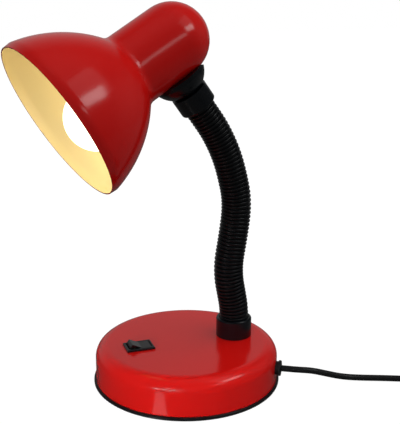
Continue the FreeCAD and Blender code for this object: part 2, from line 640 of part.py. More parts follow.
def make_switch():
    panel = size("base_height")
    middle = Vector(0, size("switch_y"), 0)
    pin_height = size("base_height + bezel_thick - pin_below")
    rim = padded("bezel", [
        ("-bezel_wide / 2", "-bezel_long / 2"), ("bezel_wide / 2", "-bezel_long / 2"),
        ("bezel_wide / 2", "bezel_long / 2"), ("-bezel_wide / 2", "bezel_long / 2")], "bezel_thick")
    doc.recompute()
    pad = rim.Tip
    top = [f"Edge{i}" for i, e in enumerate(pad.Shape.Edges, 1)
           if all(abs(v.Z - size("bezel_thick")) < 1e-6 for v in e.Vertexes)]
    edge = rim.newObject("PartDesign::Chamfer", "bezel_edge")
    edge.Base = (pad, top)
    edge.setExpression("Size", bound("bezel_chamfer"))
    rim.Tip = edge
    rim.Placement = moved(0, middle.y, panel)
    can = block("switch_can", "can_wide", "can_long", "can_deep + bezel_thick / 2",
                moved(0, middle.y, panel - size("can_deep")))
    well = block("switch_well", "rocker_wide + 2 * swing_gap", "2 * rocker_sweep + 2 * swing_gap",
                 "well_deep + 2 * bezel_thick", moved(0, middle.y, panel - size("well_deep")))
    across = Rotation(Vector(0, 1, 0), 90)
    pin_hole = solid("Cylinder", "pin_hole",
                     moved(size("shell_wall - can_wide") / 2, middle.y, pin_height, across),
                     Radius="rocker_pin + running", Height="can_wide - shell_wall")
    keep("switch_housing", cut("switch_housing", fused("switch_blank", rim, can), well, pin_hole))

    # at rest the rear half is pressed level and the front half stands up
    throw, sweep = radians(size("rocker_throw")), size("rocker_sweep")
    level = size("pin_below") - size("seat_gap")
    low = atan2(level, sqrt(sweep**2 - level**2))
    crest = (level / sin(low) * sin(low + throw) - sweep * cos(low + throw) * tan(throw))
    shape_points = [
        (cos(low) * sweep, sin(low) * sweep),
        (crest * sin(throw), crest * cos(throw)),
        (-cos(low + 2 * throw) * sweep, sin(low + 2 * throw) * sweep),
        (-sweep * cos(throw), sweep * sin(throw)),
        (-size("rocker_drop"), -size("rocker_drop")),
        (size("rocker_drop"), -size("rocker_drop")),
        (sweep * cos(throw), -sweep * sin(throw)),
    ]
    section = [Vector(0, y, z) for y, z in shape_points]
    bulge = [Vector(0, sweep * cos(t), sweep * sin(t)) for t in (
        pi - (low + 3 * throw) / 2, (low - throw) / 2)]
    edges = [
        Part.LineSegment(section[0], section[1]).toShape(),
        Part.LineSegment(section[1], section[2]).toShape(),
        Part.Arc(section[2], bulge[0], Vector(0, -sweep * cos(throw), sweep * sin(throw))).toShape(),
        Part.LineSegment(section[3], section[4]).toShape(),
        Part.LineSegment(section[4], section[5]).toShape(),
        Part.LineSegment(section[5], section[6]).toShape(),
        Part.Arc(section[6], bulge[1], section[0]).toShape(),
    ]
    face = Part.Face(Part.Wire(edges))
    wide = size("rocker_wide")
    body = face.extrude(Vector(wide, 0, 0))
    body.translate(Vector(-wide / 2, 0, 0))
    pin_long = size("can_wide - shell_wall - 2 * seat_gap")
    pin = Part.makeCylinder(size("rocker_pin"), pin_long, Vector(-pin_long / 2, 0, 0), Vector(1, 0, 0))
    rocker = body.fuse(pin).removeSplitter()
    rocker.translate(Vector(0, middle.y, pin_height))
    feature("switch_rocker", rocker)

    blades = [
        block(f"blade_{i}", "blade_wide", "blade_thick", "blade_long",
              moved(0, middle.y + side * size("blade_pitch") / 2, panel - size("can_deep + blade_long")))
        for i, side in enumerate((-1, 1))]
    keep("switch_terminals", grouped("switch_terminals", *blades))


# Wiring in the base

def make_wiring():
    floor = size("weight_top")
    block_place = moved(size("block_x"), size("block_y"), floor)
    blank = block("terminal_blank", "block_wide", "block_long", "block_high", block_place)
    holes = [
        solid("Cylinder", f"terminal_screw_{i}",
              block_place.multiply(moved(0, size("block_long") * (i - 1) / 3, size("block_high / 3"))),
              Radius="block_screw", Height="block_high")
        for i in range(3)]
    keep("terminal_block", cut("terminal_block", blank, *holes))
    leads = []
    inner = size("blade_wide") / 2 + size("seat_gap")
    outer = size("block_x - block_wide / 2")
    height = size("base_height - can_deep - blade_long / 2")
    for side in (-1, 1):
        y = size("switch_y") + side * size("blade_pitch") / 2
        leads.append(Part.makeCylinder(
            size("lead_radius"), outer - inner, Vector(inner, y, height), Vector(1, 0, 0)))
    feature("switch_leads", Part.makeCompound(leads))
    exit_point = gland_frame(size("gland_end")).Base
    inward = gland_frame(size("base_radius - shell_wall - clamp_from_wall - clamp_thick")).Base
    x, y = size("block_x"), size("block_y + block_long / 2")
    cord_z = size("cord_height")
    tube("cord_inner", [
        exit_point, inward, Vector(x + 0.5, inward.y - 16, cord_z), Vector(x, y + 22, cord_z - 0.4),
        Vector(x, y, cord_z - 0.4)], size("cord_radius"))
    # the sheathed lead to the neck rises into the lower nipple
    neck, bottom = size("neck_y"), size("base_height - shell_wall - washer_thick - nut_thick - nipple_past")
    lead_z = floor + size("flex_radius + swing_gap")
    out_x, out_y = size("block_x - cord_radius - flex_radius") - 1.2, size("block_y + block_long / 2")
    tube("neck_lead", [
        Vector(out_x, out_y, lead_z), Vector(out_x, out_y + 11, lead_z),
        Vector(out_x - 5.5, out_y + 25, lead_z), Vector(5.5, 19, lead_z + 0.4),
        Vector(0, neck - 3.2, lead_z + 0.2), Vector(0, neck, bottom - 1.5), Vector(0, neck, bottom + 9)],
        size("flex_radius"))


# Neck

def threaded_tube(name, length):
    return turned(name, [
        ("nipple_bore", "0"), ("nipple_radius", "0"), ("nipple_radius", length), ("nipple_bore", length)])


def lock_nut(name):
    """A hexagon nut that stands on its own XY plane."""
    corners = [(cos(radians(60 * i)), sin(radians(60 * i))) for i in range(6)]
    blank = padded(name + "_blank", [
        (f"nut_flats / sqrt(3) * {x:.6f}", f"nut_flats / sqrt(3) * {y:.6f}") if abs(y) > 1e-9
        else (f"nut_flats / sqrt(3) * {x:.6f}", "0") for x, y in corners], "nut_thick")
    hole = solid("Cylinder", name + "_bore", Radius="nipple_radius + running", Height="nut_thick")
    return cut(name, blank, hole)


def make_lower_fixing():
    at = lambda z: moved(0, size("neck_y"), z)
    under = size("base_height - shell_wall")
    keep("neck_base_collar", turned("neck_base_collar", [
        ("nipple_radius + seat_gap", "0"), ("collar_radius", "0"),
        ("collar_radius", "collar_high - collar_round", "collar_round"),
        ("collar_radius - collar_round", "collar_high"), ("sleeve_radius + loose", "collar_high"),
        ("sleeve_radius + loose", "collar_floor"), ("nipple_radius + seat_gap", "collar_floor")]),
        at(size("base_height")))
    washer = turned("lower_washer", [
        ("nipple_radius + seat_gap", "0"), ("washer_radius", "0"), ("washer_radius", "washer_thick"),
        ("nipple_radius + seat_gap", "washer_thick")])
    keep("lower_washer", washer, at(under - size("washer_thick")))
    keep("lower_nut", lock_nut("lower_nut"), at(under - size("washer_thick + nut_thick")))
    length = "shell_wall + washer_thick + nut_thick + nipple_past + collar_floor + nipple_grip"
    keep("lower_nipple", threaded_tube("lower_nipple", length),
         at(under - size("washer_thick + nut_thick + nipple_past")))


def make_neck():
    gap = size("joint_gap") / 2
    pivots = [size("first_pivot") + size("link_long") * i for i in range(LINKS)]
    bottom = size("collar_floor") + size("seat_gap")
    top = neck_length() + size("top_collar_high - dome_lap - top_collar_floor") - size("seat_gap")
    starts, ends = [bottom] + pivots, pivots + [top]
    grip = size("nipple_radius") + size("running")
    for i, (start, end) in enumerate(zip(starts, ends)):
        first, last = i == 0, i == LINKS
        low = start if first else start + gap
        high = end if last else end - gap
        ribs = max(2, round((high - low) / (size("link_long") / RIBS)) + (0 if first or last else 1))
        feature(f"neck_sleeve_{i}", ribbed(low, high, ribs))
        core = core_link(start, end, not last, not first)
        if first:
            core = core.cut(hoops([(start - 1, grip), (start + size("nipple_grip"), grip)]))
        if last:
            core = core.cut(hoops([(end - size("nipple_grip"), grip), (end + 1, grip)]))
        feature(f"neck_core_{i}", core)
    for i, station in enumerate(pivots):
        frame = neck_point(station)
        print("pivot", i + 1, [round(v, 3) for v in frame.Base], "along",
              [round(v, 5) for v in frame.Rotation.multVec(Vector(0, 0, 1))])


# Head

def head_frames():
    """The neck's top frame and the frames of the shade, the nipple stack and the lampholder.

    The stack's Z points down the neck and its X to the back; the shade's Z runs from the rim
    to the dome; the holder's Z runs to the back. All but the shade's start where the neck's
    axis meets the shade's axis."""
    top = neck_point(neck_length())
    up = top.Rotation.multVec(Vector(0, 0, 1))
    side = Vector(1, 0, 0)
    back = up.cross(side) * -1
    if back.y < 0:
        back = back * -1
    turn, tip, tilt = (radians(size(n)) for n in ("head_turn", "head_tip", "holder_tilt"))
    turned_back = back * cos(turn) - side * sin(turn)
    along = turned_back * cos(tip) - up * sin(tip)
    reach = size("top_collar_high - dome_lap + dome_rise + cap_radius")
    meet = top.Base + up * reach
    shade = facing(meet - along * size("head_reach"), along, up * -1)
    stack = facing(meet, up * -1, turned_back)
    lean = tip - tilt
    holder_axis = turned_back * cos(lean) - up * sin(lean)
    holder = facing(meet, holder_axis, up * -1)
    return top, shade, stack, holder


def along(frame, distance):
    """The same frame, moved along its own Z."""
    return frame.multiply(Placement(Vector(0, 0, distance), Rotation()))


def make_shade(shade, stack):
    far = "bell_radius + waist_round"
    waist = "cap_radius + waist_round"
    centre = f"bell_along + sqrt(({far})^2 - ({waist} - bell_across)^2)"
    touch_s = f"bell_along + ({centre} - bell_along) * bell_radius / ({far})"
    touch_r = f"bell_across + ({waist} - bell_across) * bell_radius / ({far})"
    rim = "bell_across + sqrt(bell_radius^2 - (rim_band - bell_along)^2)"
    thin = "(bell_radius - shade_wall)"
    touch_s_in = f"bell_along + ({centre} - bell_along) * {thin} / ({far})"
    touch_r_in = f"bell_across + ({waist} - bell_across) * {thin} / ({far})"
    rim_in = f"bell_across + sqrt({thin}^2 - (rim_band - bell_along)^2)"
    blank = turned("shade_blank", [
        ("rim_radius - shade_wall", "0"), ("rim_radius", "0"), (rim, "rim_band", "bell_radius"),
        (touch_r, touch_s, "-waist_round"),
        ("cap_radius", centre), ("cap_radius", "cap_end", "cap_radius"),
        ("0", "cap_end + cap_radius"), ("0", "cap_end + cap_radius - shade_wall", "shade_wall - cap_radius"),
        ("cap_radius - shade_wall", "cap_end"), ("cap_radius - shade_wall", centre, "waist_round + shade_wall"),
        (touch_r_in, touch_s_in, f"-{thin}"), (rim_in, "rim_band")])
    blank.Placement = shade
    hole = solid("Cylinder", "shade_hole", along(stack, size("cap_radius") - 4 * size("shade_wall")),
                 Radius="nipple_radius + running", Height="6 * shade_wall")
    keep("shade", cut("shade", blank, hole))


def make_upper_fixing(top, shade, stack):
    apex = "cap_radius + dome_rise"
    centre = size(f"{apex} - dome_radius")
    bore = lambda name: solid("Cylinder", name, stack, Radius="nipple_radius + running", Height=f"2 * ({apex})")
    cap_space = lambda name, radius: solid("Cylinder", name, shade, Radius=radius, Height="2 * cap_end")
    dome = shared("saddle_dome",
                  solid("Sphere", "saddle_ball", along(stack, centre), Radius="dome_radius"),
                  solid("Cylinder", "saddle_skirt", along(stack, size("cap_radius - saddle_sink")),
                        Radius="saddle_radius", Height=f"2 * ({apex})"))
    keep("head_saddle", cut("head_saddle", dome, cap_space("saddle_cap", "cap_radius + seat_gap"),
                            bore("saddle_bore")))
    inner_face = "cap_radius - shade_wall"
    washer = shared("washer_disc",
                    solid("Cylinder", "washer_blank", along(stack, size(f"{inner_face} - inner_washer_thick")),
                          Radius="inner_washer", Height="2 * inner_washer_thick"),
                    cap_space("washer_cap", f"{inner_face} - seat_gap"))
    keep("saddle_washer", cut("saddle_washer", washer, bore("washer_bore")))
    recess = solid("Sphere", "collar_recess", along(stack, centre), Radius="dome_radius + swing_gap / 2")
    collar = turned("collar_blank", [
        ("sleeve_radius + loose", "0"), ("collar_radius - collar_round", "0", "collar_round"),
        ("collar_radius", "collar_round"), ("collar_radius", "top_collar_high"),
        ("nipple_radius + seat_gap", "top_collar_high"),
        ("nipple_radius + seat_gap", "top_collar_high - dome_lap - top_collar_floor"),
        ("sleeve_radius + loose", "top_collar_high - dome_lap - top_collar_floor")])
    collar.Placement = top
    keep("neck_top_collar", cut("neck_top_collar", collar, recess))
    strip_face = f"{inner_face} - inner_washer_thick - bracket_thick"
    nut_face = f"{strip_face} - 2 * running - nut_thick"
    keep("upper_nut", lock_nut("upper_nut"), along(stack, size(nut_face)))
    nipple_start = f"{nut_face} - nipple_past"
    nipple_end = f"{apex} + top_collar_floor + nipple_grip"
    keep("upper_nipple", threaded_tube("upper_nipple", f"{nipple_end} - ({nipple_start})"),
         along(stack, size(nipple_start)))
    return size(strip_face)


def make_lampholder(stack, holder, strip):
    reach_back = size("holder_back + bracket_thick + bracket_slack")
    foot_long = size("bracket_front") + reach_back
    foot_place = along(stack, strip).multiply(moved(foot_long / 2 - size("bracket_front")))
    foot = solid("Box", "bracket_foot", Width="bracket_wide", Height="bracket_thick")
    foot.Length = foot_long
    foot.Placement = foot_place.multiply(moved(-foot_long / 2, -size("bracket_wide") / 2))
    rise = size("cap_radius - 2 * bracket_thick")
    low = -size("holder_screw_at + 2 * holder_screw_head")
    plate = solid("Box", "bracket_plate", Width="bracket_wide", Height="bracket_thick")
    plate.Length = rise - low
    plate.Placement = along(holder, size("holder_back")).multiply(
        Placement(Vector(low, -size("bracket_wide") / 2, 0), Rotation()))
    under = solid("Cylinder", "bracket_under", stack, Radius="2 * cap_radius")
    under.Height = strip + size("bracket_thick")
    bent = shared("bracket_bent", fused("bracket_blank", foot, plate), under)
    bore = solid("Cylinder", "bracket_bore", along(stack, strip - 1), Radius="nipple_radius + running",
                 Height="2 * bracket_thick + 1")
    screw_spots = [along(holder, size("holder_back - holder_screw_deep")).multiply(
        moved(side * size("holder_screw_at"))) for side in (-1, 1)]
    holes, screws = [], []
    for i, spot in enumerate(screw_spots):
        holes.append(solid("Cylinder", f"bracket_hole_{i}", spot, Radius="holder_screw + running",
                           Height="holder_screw_deep + 2 * bracket_thick"))
        shank = solid("Cylinder", f"holder_shank_{i}", spot, Radius="holder_screw",
                      Height="holder_screw_deep + bracket_thick")
        head = solid("Cylinder", f"holder_head_{i}", along(spot, size("holder_screw_deep + bracket_thick")),
                     Radius="holder_screw_head", Height="holder_screw_high")
        screws.append(fused(f"holder_screw_{i}", shank, head))
    keep("holder_bracket", cut("holder_bracket", bent, bore, *holes))
    keep("holder_screws", grouped("holder_screws", *screws))

    body = turned("holder_blank", [
        ("holder_bore", "holder_front"), ("holder_skirt", "holder_front"), ("holder_skirt", "holder_step"),
        ("holder_rear", "holder_step"), ("holder_rear", "holder_back"), ("0", "holder_back"),
        ("0", "holder_floor"), ("holder_well", "holder_floor"), ("holder_well", "holder_ledge"),
        ("holder_waist", "holder_ledge"), ("holder_waist", "shell_back + seat_gap"),
        ("holder_bore", "shell_back + seat_gap")])
    body.Placement = holder
    more = [
        solid("Cylinder", f"holder_screw_hole_{i}", spot,
              Radius="holder_screw + running", Height="holder_screw_deep")
        for i, spot in enumerate(screw_spots)]
    keep("lampholder_body", cut("lampholder_body", body, *more))
    keep("lampholder_shell", turned("lampholder_shell", [
        ("shell_inner", "shell_front"), ("shell_outer", "shell_front"),
        ("shell_outer", "shell_back"), ("shell_inner", "shell_back")]), holder)
    keep("lampholder_contact", block("lampholder_contact", "contact_long", "contact_wide", "contact_thick",
                                     along(holder, size("holder_floor - contact_thick"))))


def make_bulb(holder):
    reach = "sqrt(globe_radius^2 - (globe_neck_at - globe_at)^2)"
    inner = "(globe_radius - globe_wall)"
    inner_reach = f"sqrt({inner}^2 - (globe_neck_at - globe_at)^2)"
    globe = turned("bulb_globe", [
        ("0", "globe_at - globe_radius", "globe_radius"), ("globe_radius", "globe_at", "globe_radius"),
        (reach, "globe_neck_at"), ("bulb_cap_radius + swing_gap", "bulb_cap_front"),
        ("0", "bulb_cap_front"), ("0", "bulb_cap_front - 2 * globe_wall"),
        ("bulb_cap_radius - globe_wall", "bulb_cap_front - 2 * globe_wall"),
        (inner_reach, "globe_neck_at", f"-{inner}"), (inner, "globe_at", f"-{inner}"),
        ("0", f"globe_at - {inner}")])
    keep("bulb_globe", globe, holder)
    keep("bulb_cap", turned("bulb_cap", [
        ("0", "bulb_cap_front"), ("bulb_cap_radius", "bulb_cap_front"), ("bulb_cap_radius", "bulb_cap_back"),
        ("bulb_tip_radius + bulb_tip_edge", "bulb_tip_at"), ("0", "bulb_tip_at")]), holder)
    keep("bulb_contact", turned("bulb_contact", [
        ("0", "bulb_tip_at"), ("bulb_tip_radius", "bulb_tip_at"),
        ("bulb_tip_radius - bulb_tip_edge", "bulb_tip_end"), ("0", "bulb_tip_end")]), holder)


# Supply cord outside the base

CORD_ROUTE = [  # chosen by hand, from the gland to the coil, beyond the exit run
    (46.2, 82.6, 13.5), (46.5, 94.6, 9.2), (46.0, 107.6, 4.4), (48.2, 120.6, 2.4),
    (55.3, 139.6, 2.3), (62.6, 156.2, 2.3), (67.9, 176.5, 2.35),
]
COIL_ENTRY = (75.9, 198.9)  # where the straight end of the coil starts, on the table
COIL_HEADING = 70.9984  # degrees of the cord's heading there, from +X towards +Y


def make_cord():
    radius = size("cord_radius")
    exit_run = [gland_frame(size(out)).Base for out in ("gland_end", "gland_end + cord_straight")]
    low = radius + size("coil_lift")
    heading = Vector(cos(radians(COIL_HEADING)), sin(radians(COIL_HEADING)), 0)
    entry = Vector(COIL_ENTRY[0], COIL_ENTRY[1], low)
    tube("cord_run", exit_run + [Vector(*p) for p in CORD_ROUTE] + [entry], radius)

    step, inner, count = size("coil_step"), size("coil_inner"), int(size("coil_half_turns"))
    layer = count // 2
    edges = [Part.LineSegment(entry, entry + heading * (2 * radius))]
    spot, way, centre_line = entry + heading * (2 * radius), heading, []
    for i in range(count):
        across = abs(i - (layer - 1)) * step / 2 + inner
        climb = step if i == layer - 1 else 0.0
        arcs, spot = half_turn(spot, way, across, climb)
        edges += arcs
        way = way * -1
    edges.append(Part.LineSegment(spot, spot + way * (2 * radius)))
    path = Part.Wire([e.toShape() for e in edges])
    ring = Part.Wire([Part.Circle(entry, heading, radius).toShape()])
    coil = path.makePipeShell([ring], True, False)
    length = path.Length
    points = path.discretize(Number=1600)
    apart = length / (len(points) - 1)
    skip = int(6 * radius / apart)
    least = min((points[i] - points[j]).Length
                for i in range(0, len(points), 2) for j in range(i + skip, len(points), 2)) - 2 * radius
    print("cord_coil length", round(length, 1), "least gap", round(least, 3),
          "volume over ideal", round(coil.Volume / (pi * radius**2 * length), 4))
    feature("cord_coil", coil)

    leave = spot + way * (2 * radius)
    across = Vector(0, 0, 1).cross(way)
    plug_axis = (Vector(leave.x, leave.y, size("plug_thick") / 2) + way * size("tail_long")
                 + across * size("tail_bow"))
    end = way * size("tail_end")
    tube("cord_tail", [leave, leave + end, plug_axis - end, plug_axis], radius)

    # strap round the bundle, at the side of the coil away from the lamp
    widest = inner + step / 2 * (layer - 1)
    middle = entry + heading * (2 * radius) + Vector(0, 0, 1).cross(heading) * widest
    bundle_in = inner - radius - size("tie_slack")
    bundle_out = widest + radius + size("tie_slack")
    wall, top = size("tie_thick"), 2 * radius + step + size("coil_lift + swing_gap")
    frame = Placement(Vector(middle.x, middle.y, 0), Rotation(Vector(0, 0, 1), COIL_HEADING))
    outer = Part.makeBox(bundle_out - bundle_in + 2 * wall, size("tie_wide"), top + wall,
                         Vector(bundle_in - wall, -size("tie_wide") / 2, 0))
    hole = Part.makeBox(bundle_out - bundle_in, size("tie_wide"), top - wall,
                        Vector(bundle_in, -size("tie_wide") / 2, wall))
    tie = outer.cut(hole)
    tie.Placement = frame
    feature("coil_tie", tie)
    return plug_axis, way


def make_plug(back, way):
    frame = Placement(back, Rotation(Vector(0, 0, 1).cross(way) * -1, Vector(0, 0, 1), way, "ZXY"))
    body = padded("plug_body", [
        ("-plug_back / 2", "0"), ("plug_back / 2", "0"), ("plug_face / 2", "plug_long - plug_taper"),
        ("plug_face / 2", "plug_long"), ("-plug_face / 2", "plug_long"),
        ("-plug_face / 2", "plug_long - plug_taper")], "plug_thick", middle=True)
    doc.recompute()
    pad = body.Tip
    flat = [f"Edge{i}" for i, e in enumerate(pad.Shape.Edges, 1)
            if abs(e.Vertexes[0].Z - e.Vertexes[1].Z) < 1e-6 and abs(e.Vertexes[0].Z) > 1]
    edge = body.newObject("PartDesign::Fillet", "plug_edges")
    edge.Base = (pad, flat)
    edge.setExpression("Radius", bound("plug_edge"))
    body.Tip = edge
    turn = Rotation(Vector(0, 0, 1).cross(way) * -1, way, Vector(0, 0, 1), "ZXY")
    body.Placement = Placement(back, turn)
    holes, pins = [], []
    for i, side in enumerate((-1, 1)):
        local = Placement(Vector(side * size("plug_pin_pitch") / 2, size("plug_long - plug_pin_root"), 0),
                          Rotation(Vector(1, 0, 0), -90))
        spot = body.Placement.multiply(local)
        holes.append(solid("Cylinder", f"plug_pin_hole_{i}", spot, Radius="plug_pin_shank + running",
                           Height="plug_pin_root"))
        pin = turned(f"plug_pin_{i}", [
            ("0", "0"), ("plug_pin_shank", "0"), ("plug_pin_shank", "plug_pin_root"),
            ("plug_pin_radius", "plug_pin_root"),
            ("plug_pin_radius", "plug_pin_root + plug_pin_long - plug_pin_radius / 2", "plug_pin_radius / 2"),
            ("plug_pin_radius / 2", "plug_pin_root + plug_pin_long"), ("0", "plug_pin_root + plug_pin_long")])
        pin.Placement = spot
        pins.append(pin)
    keep("plug_body", cut("plug_bored", body, *holes))
    keep("plug_pins", grouped("plug_pins_pair", *pins))
    print("plug pins leave at", [[round(v, 3) for v in body.Placement.multVec(
        Vector(side * size("plug_pin_pitch") / 2, size("plug_long"), 0))] for side in (-1, 1)],
        "along", [round(v, 5) for v in way])


make_base()
make_gland_and_clamp()
make_switch()
make_wiring()
make_lower_fixing()
make_neck()
top_frame, shade_frame, stack_frame, holder_frame = head_frames()
make_shade(shade_frame, stack_frame)
strip_at = make_upper_fixing(top_frame, shade_frame, stack_frame)
make_lampholder(stack_frame, holder_frame, strip_at)
make_bulb(holder_frame)
plug_at, plug_way = make_cord()
make_plug(plug_at, plug_way)
print("neck top", [round(v, 3) for v in stack_frame.Base], "holder along",
      [round(v, 5) for v in holder_frame.Rotation.multVec(Vector(0, 0, 1))])

doc.recompute()
failed = [o.Label for o in doc.Objects if "Invalid" in o.State or "Error" in o.State]
if failed:
    raise SystemExit(f"objects that failed: {failed}")
for name, thing in nodes.items():
    if thing.Shape.isNull() or not thing.Shape.isValid() or not thing.Shape.Solids:
        raise SystemExit(f"{name} has no valid shape")
for name, thing in nodes.items():
    thing.Shape.exportStep(f"parts/{name}.step")
print(len(nodes), "nodes written")
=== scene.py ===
# %% [markdown]
# # A gooseneck desk lamp
# The lamp's rigid parts come from a CAD model, which is loaded first and never moved. What
# Blender adds is what CAD leaves plain: the spun shade with its two enamels, the ribbed skin
# of the neck, the supply cord, and the finish of every surface.

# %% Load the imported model
from math import atan2, cos, degrees, pi, radians, sin, sqrt

import bpy
from mathutils import Matrix, Vector


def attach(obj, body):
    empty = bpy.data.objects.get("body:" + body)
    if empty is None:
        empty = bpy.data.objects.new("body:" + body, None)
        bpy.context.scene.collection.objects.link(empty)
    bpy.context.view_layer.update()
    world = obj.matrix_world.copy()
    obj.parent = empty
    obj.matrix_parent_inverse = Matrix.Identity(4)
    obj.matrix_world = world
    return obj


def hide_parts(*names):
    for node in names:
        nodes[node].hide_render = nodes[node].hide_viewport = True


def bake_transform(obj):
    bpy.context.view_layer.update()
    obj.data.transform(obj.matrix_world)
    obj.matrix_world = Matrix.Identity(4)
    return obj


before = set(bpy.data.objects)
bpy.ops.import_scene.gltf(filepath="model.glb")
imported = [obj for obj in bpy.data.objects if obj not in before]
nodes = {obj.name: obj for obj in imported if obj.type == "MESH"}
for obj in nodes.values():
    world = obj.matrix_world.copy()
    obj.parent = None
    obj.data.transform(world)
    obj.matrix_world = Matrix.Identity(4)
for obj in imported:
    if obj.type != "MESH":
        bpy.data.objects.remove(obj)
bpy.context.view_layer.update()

MM = 0.001

# %% [markdown]
# ## The camera
# The picture was taken from the lamp's left, a little in front of it and from above, so the
# base's top shows as a flat ellipse. The lens is a short telephoto, which keeps the far rim of
# the base nearly as wide as the near one.

# %% Camera
CAMERA_PLACE = (588.8 * MM, -191.9 * MM, 308.0 * MM)
LOOKS_DOWN, LOOKS_ROUND = 15.96, 71.0
SENSOR_WIDE, FOCAL_LENGTH = 36, 75.55
NEAREST, FARTHEST = 0.01, 20
CAMERA_TURN = (radians(90 - LOOKS_DOWN), 0, radians(LOOKS_ROUND))
bpy.ops.object.camera_add(location=CAMERA_PLACE, rotation=CAMERA_TURN)
camera = bpy.context.object
camera.data.sensor_width = SENSOR_WIDE
camera.data.lens = FOCAL_LENGTH
camera.data.clip_start, camera.data.clip_end = NEAREST, FARTHEST
bpy.context.scene.camera = camera

# %% [markdown]
# ## Working by hand, in code
# Each piece starts as a circle or a block that is added at its size and then pulled into
# shape. Turned pieces, such as the shade, are drawn as a ring that is extruded and scaled
# again and again, as one would in edit mode.

# %% Helpers for modelling


def nothing_selected():
    if bpy.context.object and bpy.context.object.mode != "OBJECT":
        bpy.ops.object.mode_set(mode="OBJECT")
    bpy.ops.object.select_all(action="DESELECT")


def only(thing):
    nothing_selected()
    thing.select_set(True)
    bpy.context.view_layer.objects.active = thing
    return thing


def apply_all(thing):
    only(thing)
    for modifier in [m.name for m in thing.modifiers]:
        bpy.ops.object.modifier_apply(modifier=modifier)
    return thing


def settle(thing, place):
    """Moves a piece to its place and writes the place into its mesh."""
    only(thing)
    thing.matrix_world = place
    bpy.ops.object.transform_apply(location=True, rotation=True, scale=True)
    return thing


def turned(name, rings, sides=96, close_end=False):
    """A ring that is pulled through (radius, height) pairs, in millimetres."""
    nothing_selected()
    radius, height = rings[0]
    bpy.ops.mesh.primitive_circle_add(vertices=sides, radius=radius * MM, location=(0, 0, height * MM))
    thing = bpy.context.object
    thing.name = name
    bpy.ops.object.transform_apply(location=True)
    bpy.ops.object.mode_set(mode="EDIT")
    bpy.ops.mesh.select_all(action="SELECT")
    for (before, low), (after, high) in zip(rings, rings[1:]):
        bpy.ops.mesh.extrude_edges_move(TRANSFORM_OT_translate={"value": (0, 0, (high - low) * MM)})
        ratio = max(after, 1e-4) / max(before, 1e-4)
        bpy.ops.transform.resize(value=(ratio, ratio, 1), center_override=(0, 0, high * MM))
    if close_end:
        bpy.ops.mesh.merge(type="CENTER")
    bpy.ops.mesh.select_all(action="SELECT")
    bpy.ops.mesh.remove_doubles(threshold=1e-7)
    bpy.ops.mesh.normals_make_consistent(inside=False)
    bpy.ops.object.mode_set(mode="OBJECT")
    return thing


def smooth(thing, angle=40):
    only(thing)
    bpy.ops.object.shade_smooth_by_angle(angle=radians(angle))
    return thing


def arc_rings(centre_r, centre_z, radius, start, end, count):
    """Points on an arc of a turned outline, angles in degrees from outwards."""
    turns = [radians(start + (end - start) * i / count) for i in range(count + 1)]
    return [(centre_r + radius * cos(t), centre_z + radius * sin(t)) for t in turns]


# %% [markdown]
# ## The neck's line
# The neck is one flexible tube that has been bent by hand. Its middle line lies in the lamp's
# own upright plane and is drawn as short arcs, each going on in the direction of the last.

# %% Neck line
NECK_FOOT = (0.0, 38.1, 30.2)
NECK_ARCS = [(15, 0), (13, 10), (12, 1), (26, -21), (25, 2.7), (12, 7.3),
             (14, 12), (14, 3), (16, 8), (14, 6), (10, 6), (13.2, 0)]
NECK_LONG = sum(length for length, lean in NECK_ARCS)


def neck_place(station):
    """The neck's frame at a distance from its foot, in millimetres: Z runs along the neck."""
    spot, lean, left = Vector(NECK_FOOT), 0.0, station
    for i, (length, gain) in enumerate(NECK_ARCS):
        part = left if i == len(NECK_ARCS) - 1 else min(left, length)
        turn = radians(gain) * part / length
        step = part if abs(turn) < 1e-9 else 2 * part / turn * sin(turn / 2)
        spot += Vector((0, -sin(lean + turn / 2), cos(lean + turn / 2))) * step
        lean += turn
        left -= part
        if left <= 0:
            break
    return Matrix.Translation(spot * MM) @ Matrix.Rotation(lean, 4, "X")


neck_top = neck_place(NECK_LONG)
print("the neck ends", [round(v / MM, 1) for v in neck_top.translation], "mm up and forward")

# %% [markdown]
# ## The supply cord
# The mains lead leaves the base through a flanged bush, drops to the table and runs out of the
# picture. The rest is put away as a neat round coil in two layers, tied once, and it ends in a
# two-pin plug. A lead of this kind is about 1.5 m long. One smooth curve follows the whole way.

# %% Cord route
CORD_THICK = 4.6
CORD_EXIT = Vector((37.83, 61.49, 14.8))
EXIT_HEADING = radians(90 - 31.6)
EXIT_STRAIGHT = 11.0
CORD_ROUTE = [
    (46.2, 82.6, 13.5), (46.5, 94.6, 9.2), (46.0, 107.6, 4.4), (48.2, 120.6, 2.4),
    (55.3, 139.6, 2.3), (62.6, 156.2, 2.3), (67.9, 176.5, 2.35),
]
COIL_ENTRY = Vector((75.9, 198.9, 2.9))
COIL_HEADING = radians(70.9984)
COIL_STEP = 5.06
COIL_INNER = 19.9
COIL_HALVES = 14
HALF_TURN_POINTS = 8
TAIL_LONG, TAIL_BOW, TAIL_END = 22.0, 0.8, 6.0
PLUG_HEIGHT = 6.85


